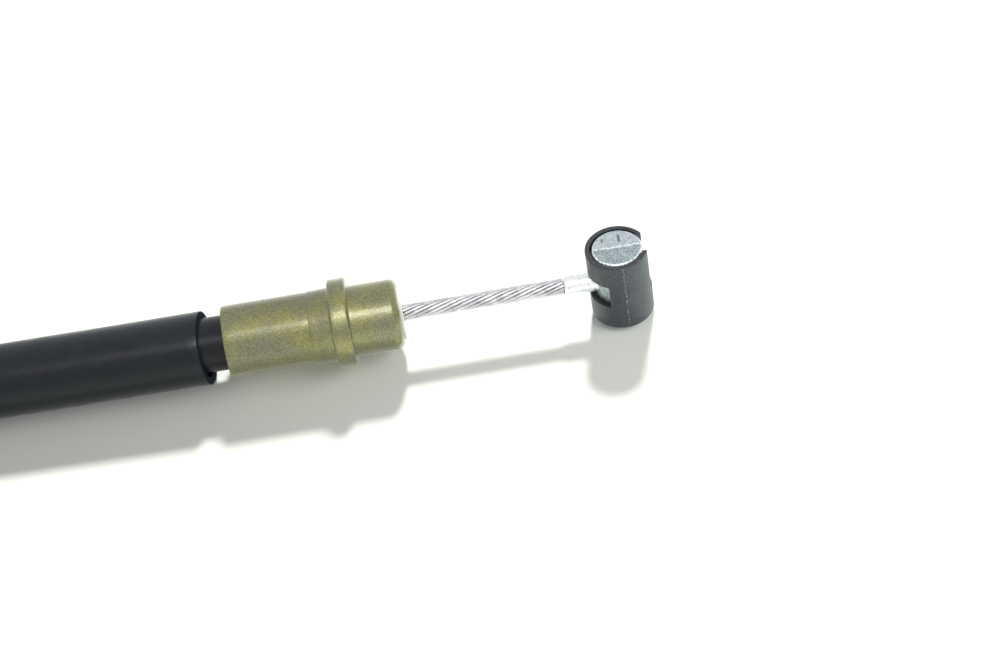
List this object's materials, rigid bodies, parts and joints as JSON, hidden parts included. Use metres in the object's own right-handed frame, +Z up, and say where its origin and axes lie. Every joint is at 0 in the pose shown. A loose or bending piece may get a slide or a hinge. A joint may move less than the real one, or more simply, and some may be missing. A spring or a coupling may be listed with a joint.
{
  "type": "clutch cable",
  "caption": "Motorcycle clutch cable: flanged lever ferrule, sliding inner wire with a barrel nipple in a turning bush, and the conduit in a tied coil.",
  "frame": {"origin": "on the surface the cable lies on, under the middle of the lever end, which runs from the ferrule's crimped end to the far side of the bush", "axes": "+X along the wire towards the lever nipple, +Y towards the coil, +Z up along the nipple's barrel"},
  "size_m": [0.2572, 0.1078, 0.0203],
  "materials": {
    "passivated_zinc": "yellow-passivated zinc plate on turned steel, satin",
    "steel_rope": "bright drawn steel wires laid into a rope",
    "cast_zinc": "zinc alloy as cast, matte",
    "white_nylon": "natural moulded nylon",
    "black_nylon": "moulded nylon, satin",
    "conduit_jacket": "extruded vinyl, satin",
    "sleeve_vinyl": "extruded soft vinyl tube, satin",
    "tie_nylon": "moulded nylon, matte"
  },
  "bodies": {
    "outer_cable": {"lever_ferrule": "passivated_zinc", "wire_guide_cap": "white_nylon", "protective_sleeve": "sleeve_vinyl", "conduit_lever_run": "conduit_jacket", "conduit_coil": "conduit_jacket", "conduit_engine_run": "conduit_jacket", "coil_tie_1": "tie_nylon", "coil_tie_2": "tie_nylon", "coil_tie_3": "tie_nylon", "engine_ferrule": "passivated_zinc"},
    "lever_wire": {"lever_inner_wire": "steel_rope", "lever_nipple": "cast_zinc"},
    "bush": {"nipple_bush": "black_nylon"},
    "engine_wire": {"engine_inner_wire": "steel_rope", "engine_nipple": "cast_zinc"}
  },
  "joints": [
    {"name": "inner_wire_slide", "type": "slide", "parent": "outer_cable", "child": "lever_wire", "axis": [1, 0, 0], "range_m": [-0.0252, 0.0245]},
    {"name": "engine_wire_slide", "type": "slide", "parent": "outer_cable", "child": "engine_wire", "axis": [-1, 0, 0], "range_m": [-0.0252, 0.0245]},
    {"name": "bush_turn", "type": "hinge", "parent": "lever_wire", "child": "bush", "pos_m": [0.02905, 0, 0.00715], "axis": [0, 0, 1], "range_deg": [-41, 175]}
  ],
  "couplings": [
    {"joint": "engine_wire_slide", "follows": "inner_wire_slide", "ratio": 1}
  ]
}
